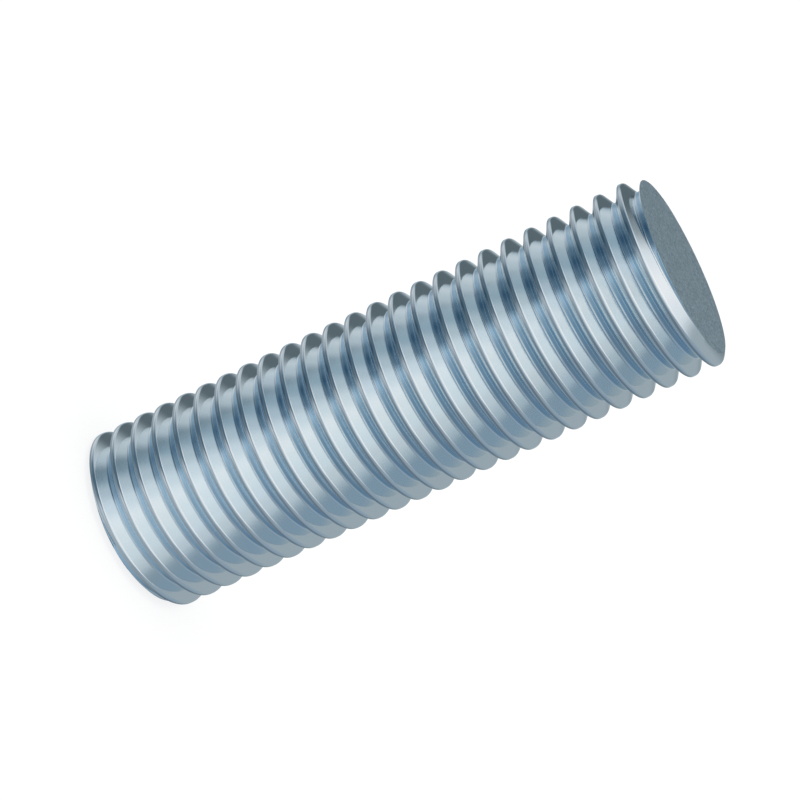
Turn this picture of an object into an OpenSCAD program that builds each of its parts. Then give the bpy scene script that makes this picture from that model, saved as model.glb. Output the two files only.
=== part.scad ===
// A threaded stud: a short cut length of metric threaded rod, stood on one end.
// One right-hand thread runs over its whole length, with rounded crests and roots
// as thread rolling leaves them. Both ends are plain saw cuts with no chamfer, so
// the thread runs out sharply where each cut crosses it.

/* [Stud] */
// Diameter over the crests of the thread, a little under 16 as on a real M16 thread
major_d = 15.83; // [12:0.01:20]
// Length from one cut end to the other
length = 50; // [20:1:80]

/* [Thread] */
// Rise of the thread in one turn
pitch = 2; // [1.5:0.25:3]
// Angle between the two flanks of a groove
flank_angle = 60; // [50:1:70]
// Width of a crest between its unrounded corners, as a share of the pitch
crest_share = 0.16; // [0.12:0.01:0.3]
// Width of a root between its unrounded corners, as a share of the pitch
root_share = 0.19; // [0.1:0.01:0.25]
// How far the crest corners are rounded, from 0 for sharp to 1 for a full round
crest_rounding = 0.5; // [0.1:0.1:1]
// Angle about the axis at which the crest meets the bottom end
start_angle = 101; // [0:1:359]

/* [Mesh] */
// Most steps that one turn of the thread is drawn with
turn_steps_max = 32; // [16:4:32]

/* [Hidden] */

// Colour of the bluish zinc plating
zinc_blue = [0.62, 0.70, 0.77];

major_r = major_d / 2;
crest_w = crest_share * pitch;
root_w = root_share * pitch;
thread_depth = (pitch - crest_w - root_w) / 2 / tan(flank_angle / 2);
minor_r = major_r - thread_depth;

// A crest or root turns through this angle into the flank beside it, and an arc
// of that angle reaches this far back from the corner for each mm of its radius
corner_turn = 90 - flank_angle / 2;
corner_reach = tan(corner_turn / 2);
crest_r = crest_rounding * crest_w / 2 / corner_reach;
crest_flat = crest_w / 2 - crest_r * corner_reach;
root_r = root_w / 2 / corner_reach;

// Half of one groove and ridge, from the middle of a root up to the edge of the
// flat on the crest, as [distance along the axis, distance from the axis]
half_profile = [
    [0, minor_r],
    [root_r * sin(corner_turn), minor_r + root_r * (1 - cos(corner_turn))],
    [pitch / 2 - crest_flat - crest_r * sin(corner_turn), major_r - crest_r * (1 - cos(corner_turn))],
    [pitch / 2 - crest_flat, major_r]
];
half_rows = len(half_profile);
// The other half is its mirror image, up to but without the middle of the next root
profile = concat(half_profile, [
    for (i = [half_rows - 1 : -1 : 1]) [pitch - half_profile[i][0], half_profile[i][1]]
]);
rows = len(profile);

// A longer or finer thread takes fewer steps to a turn, so that its mesh stays light.
// The count is a multiple of 4, which keeps the full diameter along X and along Y.
triangle_budget = 12000;
budget_steps = 4 * floor(triangle_budget / (4 * 2 * rows * length / pitch));
turn_steps = min(turn_steps_max, budget_steps);

// The middle of a crest is at this height where it passes an angle about the axis,
// give or take whole turns
function crest_height(angle) = pitch * (angle - start_angle) / 360;

// Step numbers at which the sweep starts and stops. The thread is drawn past both
// ends and cut there, so its first turn is clear below the bottom end, and its last
// turn starts above the top end.
first_step = floor(turn_steps * (start_angle / 360 - 1 / 2)) - 1;
last_step = ceil(turn_steps * (length / pitch + start_angle / 360 + 1 / 2)) + 1;
steps = last_step - first_step;

// Point of one profile row at one step after the first
function thread_point(row, step) =
    let (angle = 360 * (first_step + step) / turn_steps)
    let (height = crest_height(angle) - pitch / 2 + profile[row][0])
    [profile[row][1] * cos(angle), profile[row][1] * sin(angle), height];

// Number of that point. The row after the last is the first row, one turn higher.
function point_number(row, step) =
    row == rows ? point_number(0, step + turn_steps)
    : step <= steps ? step * rows + row
    : (steps + 1) * rows + step - steps - 1;

// Two triangles between one row and the next, over one step
function strip_faces(row, step) =
    let (a = point_number(row, step), b = point_number(row, step + 1))
    let (c = point_number(row + 1, step + 1), d = point_number(row + 1, step))
    [[a, c, b], [a, d, c]];

// Triangles from a rim of points to one point on the axis
function fan_faces(rim, hub) = [
    for (i = [0 : len(rim) - 1]) [hub, rim[i], rim[(i + 1) % len(rim)]]
];

// Thread before its ends are cut: the ridge and groove swept round the axis as one
// closed skin. Each raw end is a fan to the axis, below or above the cut.
module thread_blank() {
    thread = [
        for (step = [0 : steps], row = [0 : rows - 1]) thread_point(row, step)
    ];
    last_turn = [
        for (step = [steps + 1 : steps + turn_steps]) thread_point(0, step)
    ];
    hubs = [
        for (step = [0, steps]) [0, 0, thread_point(0, step)[2] + pitch / 2]
    ];
    first_hub = len(thread) + len(last_turn);
    bottom_rim = concat(
        [for (step = [0 : turn_steps - 1]) point_number(0, step)],
        [for (row = [rows : -1 : 1]) point_number(row, 0)]
    );
    top_rim = concat(
        [for (row = [0 : rows - 1]) point_number(row, steps)],
        [for (step = [steps + turn_steps : -1 : steps + 1]) point_number(0, step)]
    );
    skin = [
        for (step = [0 : steps - 1], row = [0 : rows - 1])
            each strip_faces(row, step)
    ];
    polyhedron(
        points = concat(thread, last_turn, hubs),
        faces = concat(skin, fan_faces(bottom_rim, first_hub), fan_faces(top_rim, first_hub + 1)),
        convexity = 10
    );
}

// The finished stud: the thread between two flat cuts across the axis
module threaded_stud() {
    color(zinc_blue)
        intersection() {
            thread_blank();
            translate([-major_d, -major_d, 0]) cube([2 * major_d, 2 * major_d, length]);
        }
}

threaded_stud();
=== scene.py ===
# The threaded stud as a Blender scene: a smooth rolled thread with two saw-cut ends,
# in bright bluish zinc plating, on a white floor under a soft studio light.
import math

import bmesh
import bpy
from mathutils import Matrix, Vector


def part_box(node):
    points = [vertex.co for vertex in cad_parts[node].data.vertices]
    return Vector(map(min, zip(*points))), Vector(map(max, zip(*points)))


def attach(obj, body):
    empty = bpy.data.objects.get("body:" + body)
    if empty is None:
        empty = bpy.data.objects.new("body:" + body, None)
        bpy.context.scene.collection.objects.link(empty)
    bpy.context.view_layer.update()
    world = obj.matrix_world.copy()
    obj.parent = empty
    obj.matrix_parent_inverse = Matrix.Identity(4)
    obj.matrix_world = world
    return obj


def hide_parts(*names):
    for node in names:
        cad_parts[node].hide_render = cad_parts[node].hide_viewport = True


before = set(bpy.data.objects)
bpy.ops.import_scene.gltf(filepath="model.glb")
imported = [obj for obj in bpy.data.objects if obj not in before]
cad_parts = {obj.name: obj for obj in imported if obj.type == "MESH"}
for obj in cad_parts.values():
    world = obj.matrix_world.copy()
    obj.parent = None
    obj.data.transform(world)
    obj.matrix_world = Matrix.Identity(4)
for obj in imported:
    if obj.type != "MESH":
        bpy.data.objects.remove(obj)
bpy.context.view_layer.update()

NODE = "threaded_stud"
LOW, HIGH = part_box(NODE)

# Sizes of the stud in metres. The diameter and length come from the frame.
MAJOR_R = (HIGH[0] - LOW[0]) / 2
LENGTH = HIGH[2] - LOW[2]
PITCH = 0.002
FLANK_ANGLE = math.radians(60)
# Widths of the crest and the root between their unrounded corners, as shares of the pitch
CREST_SHARE = 0.16
ROOT_SHARE = 0.19
# How far the corners of the crest and the root are rounded, from 0 for sharp to 1 for a
# full round, first on the flank that faces down and then on the one that faces up
CREST_ROUNDING = (0.1, 0.9)
ROOT_ROUNDING = (0.15, 0.4)
# Angle about the axis at which the crest meets the bottom end
START_ANGLE = math.radians(101)

# Steps of the thread's mesh in one turn and in one rounded corner
TURN_STEPS = 96
ARC_STEPS = 4
# How far in from its ends each flat has an extra row of points, which keeps it flat
# under smooth shading: a share of the flank's width, or of the pitch on crest and root
FLAT_EDGE = 0.006
# A point this close to a cut counts as lying on it
CUT_TOLERANCE = 1e-9

# The plating drifts between a cool and a warm tone, by the level of a noise
PLATING_TONES = [(0.35, (0.87, 0.90, 0.925)), (0.65, (0.885, 0.905, 0.915))]
# How the painted shade changes across the thread: 0 is the root below, 0.5 the middle of the
# crest and 1 the root above. This is painted shade, not the plating's own colour. The root is
# painted bluer and darker, the lower flank and the crest a shade darker, and a dark seam is
# painted along the lower side of the crest.
PLAIN = (1.00, 1.00, 1.00)
ROOT_PAINTED_SHADE = (0.40, 0.57, 0.71)
LOWER_FLANK_PAINTED_SHADE = (0.90, 0.965, 0.985)
CREST_SEAM_PAINTED_SHADE = (0.46, 0.51, 0.55)
CREST_PAINTED_SHADE = (0.90, 0.92, 0.94)
# Painted shade across the thread, as (place, tone) stops
THREAD_PAINTED_SHADE = [
    (0.00, ROOT_PAINTED_SHADE), (0.07, ROOT_PAINTED_SHADE), (0.12, LOWER_FLANK_PAINTED_SHADE), (0.40, LOWER_FLANK_PAINTED_SHADE), (0.43, CREST_SEAM_PAINTED_SHADE),
    (0.49, CREST_SEAM_PAINTED_SHADE), (0.53, CREST_PAINTED_SHADE), (0.58, PLAIN), (0.92, PLAIN), (0.97, ROOT_PAINTED_SHADE), (1.00, ROOT_PAINTED_SHADE),
]
THREAD_ROUGHNESS = 0.1
# Clouds and grain of the plating in spots to a metre, and the grain's height in metres
CLOUDS = 260.0
THREAD_GRAIN = 3000.0
THREAD_GRAIN_HEIGHT = 0.000004
THREAD_GRAIN_STRENGTH = 0.5

# The saw-cut end in the same units: a speckled blue-grey with larger duller blotches
END_TONES = [(0.36, (0.36, 0.44, 0.48)), (0.64, (0.68, 0.77, 0.81))]
BLOTCH_TONES = [(0.35, (0.84, 0.86, 0.87)), (0.60, PLAIN)]
END_ROUGHNESS = 0.6
END_BLOTCHES = 1100.0
END_GRAIN = 4200.0
END_GRAIN_HEIGHT = 0.00005
END_GRAIN_STRENGTH = 0.3

# Tones of the studio that the metal reflects
WHITE = Vector((1.00, 1.00, 1.00))
CHALK = Vector((0.91, 0.94, 0.95))
PEARL = Vector((0.81, 0.86, 0.89))
PALE = Vector((0.76, 0.82, 0.86))
SILVER = Vector((0.69, 0.73, 0.76))
FOG = Vector((0.57, 0.63, 0.67))
HAZE = Vector((0.55, 0.63, 0.68))
MIST = Vector((0.49, 0.57, 0.62))
CLOUD = Vector((0.36, 0.46, 0.53))
STONE = Vector((0.34, 0.41, 0.45))
SLATE = Vector((0.29, 0.36, 0.42))
BLUE = Vector((0.27, 0.36, 0.44))
STEEL = Vector((0.21, 0.28, 0.33))
SHADE = Vector((0.105, 0.14, 0.16))
DUSK = Vector((0.08, 0.145, 0.205))
# Where they stand round the stud, as (azimuth, tone) stops, with azimuth 0 at the front:
# on the floor, in a band just below the horizon, and above the horizon
LOW_TONES = [
    (-180, MIST), (-140, SILVER), (-115, MIST), (-80, CLOUD), (-59, HAZE), (-36, PEARL), (-12, WHITE),
    (12, CHALK), (36, PEARL), (58, SILVER), (80, MIST), (100, SLATE), (160, SLATE), (180, MIST),
]
MIDDLE_TONES = [
    (-180, MIST), (-155, CLOUD), (-131, SILVER), (-112, FOG), (-90, STEEL), (-71, DUSK), (-50, STEEL),
    (-31, PEARL), (-10, MIST), (10, CLOUD), (51, SLATE), (75, SLATE), (95, BLUE), (118, BLUE),
    (132, STONE), (152, STONE), (170, MIST), (180, MIST),
]
HIGH_TONES = [
    (-180, SHADE), (-153, SHADE), (-139, MIST), (-128, MIST), (-110, SLATE), (-92, DUSK), (-53, DUSK),
    (-33, SLATE), (-12, CLOUD), (9, MIST), (29, CLOUD), (49, SLATE), (75, SLATE), (100, BLUE),
    (122, BLUE), (140, STONE), (162, STONE), (180, SHADE),
]
# Elevations over which one gives way to the next, and the floor to the slate under the stud
MIDDLE_FROM = (-28, -20)
HIGH_FROM = (-8, 6)
UNDER_FROM = (-44, -56)
# Elevation at which the tones begin to turn pale, as (azimuth, elevation) stops, how much
# higher they are pale, and the elevations over which the pale turns white
PALE_FROM = [
    (-180, 50), (-139, 50), (-90, 46), (-50, 40), (-30, 26), (0, 16), (35, 24), (60, 40), (90, 48),
    (180, 50),
]
PALE_FADE = 14
WHITE_FROM = (64, 78)
# The ball that carries them: its radius in metres, its columns and rows of faces, and the
# elevation at which it stops short of its poles
BALL_R = 1.5
BALL_COLUMNS = 144
BALL_ROWS = 72
BALL_REACH = 89

# The floor is grey in the light, and a glow that only direct looks see makes it white,
# which keeps its shadow faint. It lies just under the stud, so that their faces don't
# meet. The size and height of the soft box above them are in metres.
WORLD_LIGHT = 0.9
FLOOR_TONE = 0.3
FLOOR_GLOW = 0.76
FLOOR_SIZE = 4.0
FLOOR_Z = -0.00002
BOX_SIZE = 0.5
BOX_HEIGHT = 0.65
BOX_LEVEL = 0.6

# The photograph's camera, from a fit to the stud's outline: where it stands in metres,
# the directions to the right and the top of its picture, and its lens in mm
CAMERA_PLACE = (0.0, -0.181826, 0.081782)
CAMERA_RIGHT = Vector((0.42213, 0.27035, 0.86528))
CAMERA_UP = Vector((-0.90654, 0.12589, 0.40292))
CAMERA_LENS = 107.43
CAMERA_SENSOR = 36


def half_profile(crest_rounding, root_rounding):
    """The profile from the middle of a root up to the middle of a crest, as (along, radius)."""
    crest_w, root_w = CREST_SHARE * PITCH, ROOT_SHARE * PITCH
    depth = (PITCH - crest_w - root_w) / 2 / math.tan(FLANK_ANGLE / 2)
    minor_r = MAJOR_R - depth
    # A corner turns through this angle, and its arc reaches this far back for each metre
    # of its radius
    turn = math.pi / 2 - FLANK_ANGLE / 2
    reach = math.tan(turn / 2)
    root_r = root_rounding * root_w / 2 / reach
    root_flat = root_w / 2 - root_r * reach
    crest_r = crest_rounding * crest_w / 2 / reach
    crest_flat = crest_w / 2 - crest_r * reach
    crest_z = PITCH / 2 - crest_flat
    arc = [turn * i / ARC_STEPS for i in range(ARC_STEPS + 1)]
    root = [(root_flat + root_r * math.sin(a), minor_r + root_r * (1 - math.cos(a))) for a in arc]
    crest = [
        (crest_z - crest_r * math.sin(a), MAJOR_R - crest_r * (1 - math.cos(a)))
        for a in reversed(arc)
    ]
    foot, head = Vector(root[-1]), Vector(crest[0])
    flank = [tuple(foot.lerp(head, part)) for part in (FLAT_EDGE, 1 - FLAT_EDGE)]
    inner = max(root_flat - FLAT_EDGE * PITCH, root_flat / 2)
    outer = min(crest_z + FLAT_EDGE * PITCH, PITCH / 2 - crest_flat / 2)
    root_floor = [(0, minor_r), (inner, minor_r)]
    crest_top = [(outer, MAJOR_R), (PITCH / 2, MAJOR_R)]
    return root_floor + root + flank + crest + crest_top


def thread_profile():
    """One ridge from root middle to root middle, as (along, radius) pairs."""
    below = half_profile(CREST_ROUNDING[0], ROOT_ROUNDING[0])
    above = half_profile(CREST_ROUNDING[1], ROOT_ROUNDING[1])
    return below + [(PITCH - z, r) for z, r in reversed(above[1:-1])]


def thread_mesh():
    """The thread's skin, swept from below the bottom end to above the top end."""
    profile = thread_profile()
    first = math.floor(TURN_STEPS * (START_ANGLE / math.tau - 0.5)) - 1
    last = math.ceil(TURN_STEPS * (LENGTH / PITCH + START_ANGLE / math.tau + 0.5)) + 1
    bm = bmesh.new()

    def point(row, step):
        angle = math.tau * step / TURN_STEPS
        along, r = profile[row]
        height = PITCH * (angle - START_ANGLE) / math.tau - PITCH / 2 + along
        return bm.verts.new((r * math.cos(angle), r * math.sin(angle), height))

    rings = [[point(row, step) for row in range(len(profile))] for step in range(first, last + 1)]
    # The last row joins the first row of the turn above, so that row goes on for one turn
    over = [point(0, step) for step in range(last + 1, last + TURN_STEPS + 1)]
    feet = [ring[0] for ring in rings] + over
    for i in range(len(rings) - 1):
        near = rings[i] + [feet[i + TURN_STEPS]]
        far = rings[i + 1] + [feet[i + 1 + TURN_STEPS]]
        for row in range(len(profile)):
            face = bm.faces.new((near[row], far[row], far[row + 1], near[row + 1]))
            face.smooth = True
    return bm


def cut_end(bm, height, outward):
    """Cuts the thread straight across at this height and closes it with one flat face."""
    cut = bmesh.ops.bisect_plane(
        bm, geom=bm.verts[:] + bm.edges[:] + bm.faces[:], dist=CUT_TOLERANCE,
        plane_co=(0, 0, height), plane_no=(0, 0, outward), clear_outer=True)
    rim = [e for e in cut["geom_cut"] if isinstance(e, bmesh.types.BMEdge)]
    made = bmesh.ops.contextual_create(bm, geom=rim)
    for face in made["faces"]:
        face.material_index = 1
        face.smooth = False


class Nodes:
    """Short way to build a node tree: add a node, set its inputs, link what is linked."""

    def __init__(self, tree):
        self.tree = tree
        tree.nodes.clear()

    def add(self, kind, inputs=None, **settings):
        node = self.tree.nodes.new("ShaderNode" + kind)
        for name, value in settings.items():
            setattr(node, name, value)
        for name, value in (inputs or {}).items():
            if isinstance(value, bpy.types.NodeSocket):
                self.tree.links.new(value, node.inputs[name])
            else:
                node.inputs[name].default_value = value
        return node


def new_material(name):
    material = bpy.data.materials.new(name)
    material.use_nodes = True
    return material, Nodes(material.node_tree)


def colour_ramp(nodes, factor, stops):
    ramp = nodes.add("ValToRGB", {"Fac": factor})
    points = ramp.color_ramp.elements
    while len(points) < len(stops):
        points.new(1.0)
    for point, (position, colour) in zip(points, stops):
        point.position = position
        point.color = (*colour, 1)
    return ramp.outputs["Color"]


def multiply(nodes, first, second):
    inputs = {"Fac": 1.0, "Color1": first, "Color2": second}
    return nodes.add("MixRGB", inputs, blend_type="MULTIPLY").outputs["Color"]


def place_across_thread(nodes, place):
    """0 in the root below, 0.5 on the middle of the crest, 1 in the root above."""
    axes = nodes.add("SeparateXYZ", {0: place})
    angle = nodes.add("Math", {0: axes.outputs["Y"], 1: axes.outputs["X"]}, operation="ARCTAN2")
    turns = nodes.add(
        "Math", {0: angle.outputs[0], 1: -1 / math.tau, 2: START_ANGLE / math.tau + 0.5},
        operation="MULTIPLY_ADD")
    rise = nodes.add(
        "Math", {0: axes.outputs["Z"], 1: 1 / PITCH, 2: turns.outputs[0]},
        operation="MULTIPLY_ADD")
    return nodes.add("Math", {0: rise.outputs[0]}, operation="FRACT").outputs[0]


def thread_material():
    """Bright zinc with a bluish passivation, and painted shade: darker and bluer deep in the groove,
    with a dark seam painted under the crest.
    """
    material, nodes = new_material("bright_blue_zinc")
    place = nodes.add("TexCoord").outputs["Object"]
    cloud = nodes.add("TexNoise", {"Vector": place, "Scale": CLOUDS, "Detail": 2.0})
    tint = colour_ramp(nodes, cloud.outputs["Fac"], PLATING_TONES)
    across = place_across_thread(nodes, place)
    # The plating's tone times the painted shade across the thread
    colour = multiply(nodes, tint, colour_ramp(nodes, across, THREAD_PAINTED_SHADE))
    grain = nodes.add("TexNoise", {"Vector": place, "Scale": THREAD_GRAIN, "Detail": 2.0})
    bump = nodes.add("Bump", {
        "Height": grain.outputs["Fac"],
        "Strength": THREAD_GRAIN_STRENGTH,
        "Distance": THREAD_GRAIN_HEIGHT,
    })
    surface = nodes.add("BsdfPrincipled", {
        "Base Color": colour,
        "Metallic": 1.0,
        "Roughness": THREAD_ROUGHNESS,
        "Normal": bump.outputs["Normal"],
    })
    nodes.add("OutputMaterial", {"Surface": surface.outputs["BSDF"]})
    return material


def end_material():
    """The saw cut under its plating: an even, dull blue-grey with a fine grain."""
    material, nodes = new_material("sawn_zinc_end")
    place = nodes.add("TexCoord").outputs["Object"]
    grain = nodes.add(
        "TexNoise", {"Vector": place, "Scale": END_GRAIN, "Detail": 3.0, "Roughness": 0.7})
    blotch = nodes.add("TexNoise", {"Vector": place, "Scale": END_BLOTCHES, "Detail": 2.0})
    specks = colour_ramp(nodes, grain.outputs["Fac"], END_TONES)
    blotches = colour_ramp(nodes, blotch.outputs["Fac"], BLOTCH_TONES)
    bump = nodes.add("Bump", {
        "Height": grain.outputs["Fac"],
        "Strength": END_GRAIN_STRENGTH,
        "Distance": END_GRAIN_HEIGHT,
    })
    surface = nodes.add("BsdfPrincipled", {
        "Base Color": multiply(nodes, specks, blotches),
        "Metallic": 1.0,
        "Roughness": END_ROUGHNESS,
        "Normal": bump.outputs["Normal"],
    })
    nodes.add("OutputMaterial", {"Surface": surface.outputs["BSDF"]})
    return material


def add_stud():
    bm = thread_mesh()
    cut_end(bm, LOW[2], -1)
    cut_end(bm, HIGH[2], 1)
    bmesh.ops.recalc_face_normals(bm, faces=bm.faces[:])
    mesh = bpy.data.meshes.new("stud")
    bm.to_mesh(mesh)
    bm.free()
    stud = bpy.data.objects.new("stud", mesh)
    bpy.context.collection.objects.link(stud)
    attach(stud, "root")
    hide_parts(NODE)
    mesh.materials.append(thread_material())
    mesh.materials.append(end_material())


def add_camera():
    """The photograph's view: a little above the stud and rolled, so that it lies aslant."""
    data = bpy.data.cameras.new("camera")
    data.sensor_width = CAMERA_SENSOR
    data.lens = CAMERA_LENS
    camera = bpy.data.objects.new("camera", data)
    bpy.context.collection.objects.link(camera)
    back = CAMERA_RIGHT.cross(CAMERA_UP)
    axes = Matrix((CAMERA_RIGHT, CAMERA_UP, back)).transposed().to_4x4()
    camera.matrix_world = Matrix.Translation(CAMERA_PLACE) @ axes
    bpy.context.scene.camera = camera


def seen_directly(nodes):
    """1 for rays from the camera, off metal or through glass, which see plain white."""
    path = nodes.add("LightPath")
    camera_ray, glossy_ray = path.outputs["Is Camera Ray"], path.outputs["Is Glossy Ray"]
    either = nodes.add("Math", {0: camera_ray, 1: glossy_ray}, operation="MAXIMUM")
    through = path.outputs["Is Transmission Ray"]
    return nodes.add("Math", {0: either.outputs[0], 1: through}, operation="MAXIMUM").outputs[0]


def add_world():
    world = bpy.data.worlds.new("studio")
    world.use_nodes = True
    nodes = Nodes(world.node_tree)
    strength = nodes.add("Mix", {0: seen_directly(nodes), 2: WORLD_LIGHT, 3: 1.0})
    light = nodes.add("Background", {"Color": (1, 1, 1, 1), "Strength": strength.outputs[0]})
    nodes.add("OutputWorld", {"Surface": light.outputs["Background"]})
    bpy.context.scene.world = world


def add_floor():
    """A white floor with a faint shadow. Reflections see the surround in its place."""
    material, nodes = new_material("white_floor")
    sheet = nodes.add("BsdfDiffuse", {"Color": (FLOOR_TONE, FLOOR_TONE, FLOOR_TONE, 1)})
    level = nodes.add("Math", {0: seen_directly(nodes), 1: FLOOR_GLOW}, operation="MULTIPLY")
    glow = nodes.add("Emission", {"Color": (1, 1, 1, 1), "Strength": level.outputs[0]})
    both = nodes.add("AddShader", {0: sheet.outputs[0], 1: glow.outputs[0]})
    nodes.add("OutputMaterial", {"Surface": both.outputs[0]})
    half = FLOOR_SIZE / 2
    corners = [(-half, -half, 0), (half, -half, 0), (half, half, 0), (-half, half, 0)]
    mesh = bpy.data.meshes.new("floor")
    mesh.from_pydata(corners, [], [(0, 1, 2, 3)])
    mesh.materials.append(material)
    floor = bpy.data.objects.new("floor", mesh)
    bpy.context.collection.objects.link(floor)
    floor.location.z = FLOOR_Z
    floor.visible_glossy = False


def smooth_step(low, high, x):
    """0 at or before low, 1 at or beyond high, and eased in between."""
    t = min(max((x - low) / (high - low), 0), 1)
    return t * t * (3 - 2 * t)


def mix(first, second, amount):
    """Partway from one tone to another, or from one number to another."""
    return first + (second - first) * amount


def eased(stops, az):
    """Tone or number at an azimuth, eased between its (azimuth, value) stops."""
    for (start, first), (end, second) in zip(stops, stops[1:]):
        if az <= end:
            return mix(first, second, smooth_step(start, end, az))
    return stops[-1][1]


def studio_tone(az, el):
    """Tone of the studio in the direction of an azimuth and an elevation."""
    tone = mix(eased(LOW_TONES, az), eased(MIDDLE_TONES, az), smooth_step(*MIDDLE_FROM, el))
    tone = mix(tone, eased(HIGH_TONES, az), smooth_step(*HIGH_FROM, el))
    tone = mix(tone, SLATE, smooth_step(*UNDER_FROM, el))
    pale_from = eased(PALE_FROM, az)
    tone = mix(tone, PALE, smooth_step(pale_from, pale_from + PALE_FADE, el))
    return mix(tone, WHITE, smooth_step(*WHITE_FROM, el))


def add_surround():
    """The tones of a studio round the stud, on a large ball that only reflections see."""
    verts, tones, faces = [], [], []
    for i in range(BALL_COLUMNS + 1):
        az = -180 + 360 * i / BALL_COLUMNS
        x, y = math.sin(math.radians(az)), -math.cos(math.radians(az))
        for j in range(BALL_ROWS + 1):
            el = BALL_REACH * (2 * j / BALL_ROWS - 1)
            out, up = BALL_R * math.cos(math.radians(el)), BALL_R * math.sin(math.radians(el))
            verts.append((out * x, out * y, up + LENGTH / 2))
            tones.extend((*studio_tone(az, el), 1))
    column = BALL_ROWS + 1
    for i in range(BALL_COLUMNS):
        for j in range(BALL_ROWS):
            here, beside = i * column + j, (i + 1) * column + j
            faces.append((here, beside, beside + 1, here + 1))
    mesh = bpy.data.meshes.new("surround")
    mesh.from_pydata(verts, [], faces)
    mesh.attributes.new("tone", "FLOAT_COLOR", "POINT").data.foreach_set("color", tones)

    material, nodes = new_material("surround")
    tone = nodes.add("Attribute", attribute_name="tone")
    glow = nodes.add("Emission", {"Color": tone.outputs["Color"], "Strength": 1.0})
    nodes.add("OutputMaterial", {"Surface": glow.outputs[0]})
    mesh.materials.append(material)
    surround = bpy.data.objects.new("surround", mesh)
    bpy.context.collection.objects.link(surround)
    for kind in ("camera", "diffuse", "transmission", "volume_scatter", "shadow"):
        setattr(surround, "visible_" + kind, False)


def add_lamp():
    """One large soft box straight above the stud, which lights the floor round it."""
    data = bpy.data.lights.new("soft_box", "AREA")
    data.shape = "SQUARE"
    data.size = BOX_SIZE
    data.energy = BOX_LEVEL * math.pi * BOX_SIZE ** 2
    lamp = bpy.data.objects.new("soft_box", data)
    lamp.location = (0, 0, BOX_HEIGHT)
    bpy.context.collection.objects.link(lamp)
    lamp.visible_glossy = False


add_stud()
add_camera()
add_world()
add_floor()
add_surround()
add_lamp()
bpy.context.scene.view_settings.view_transform = "Standard"
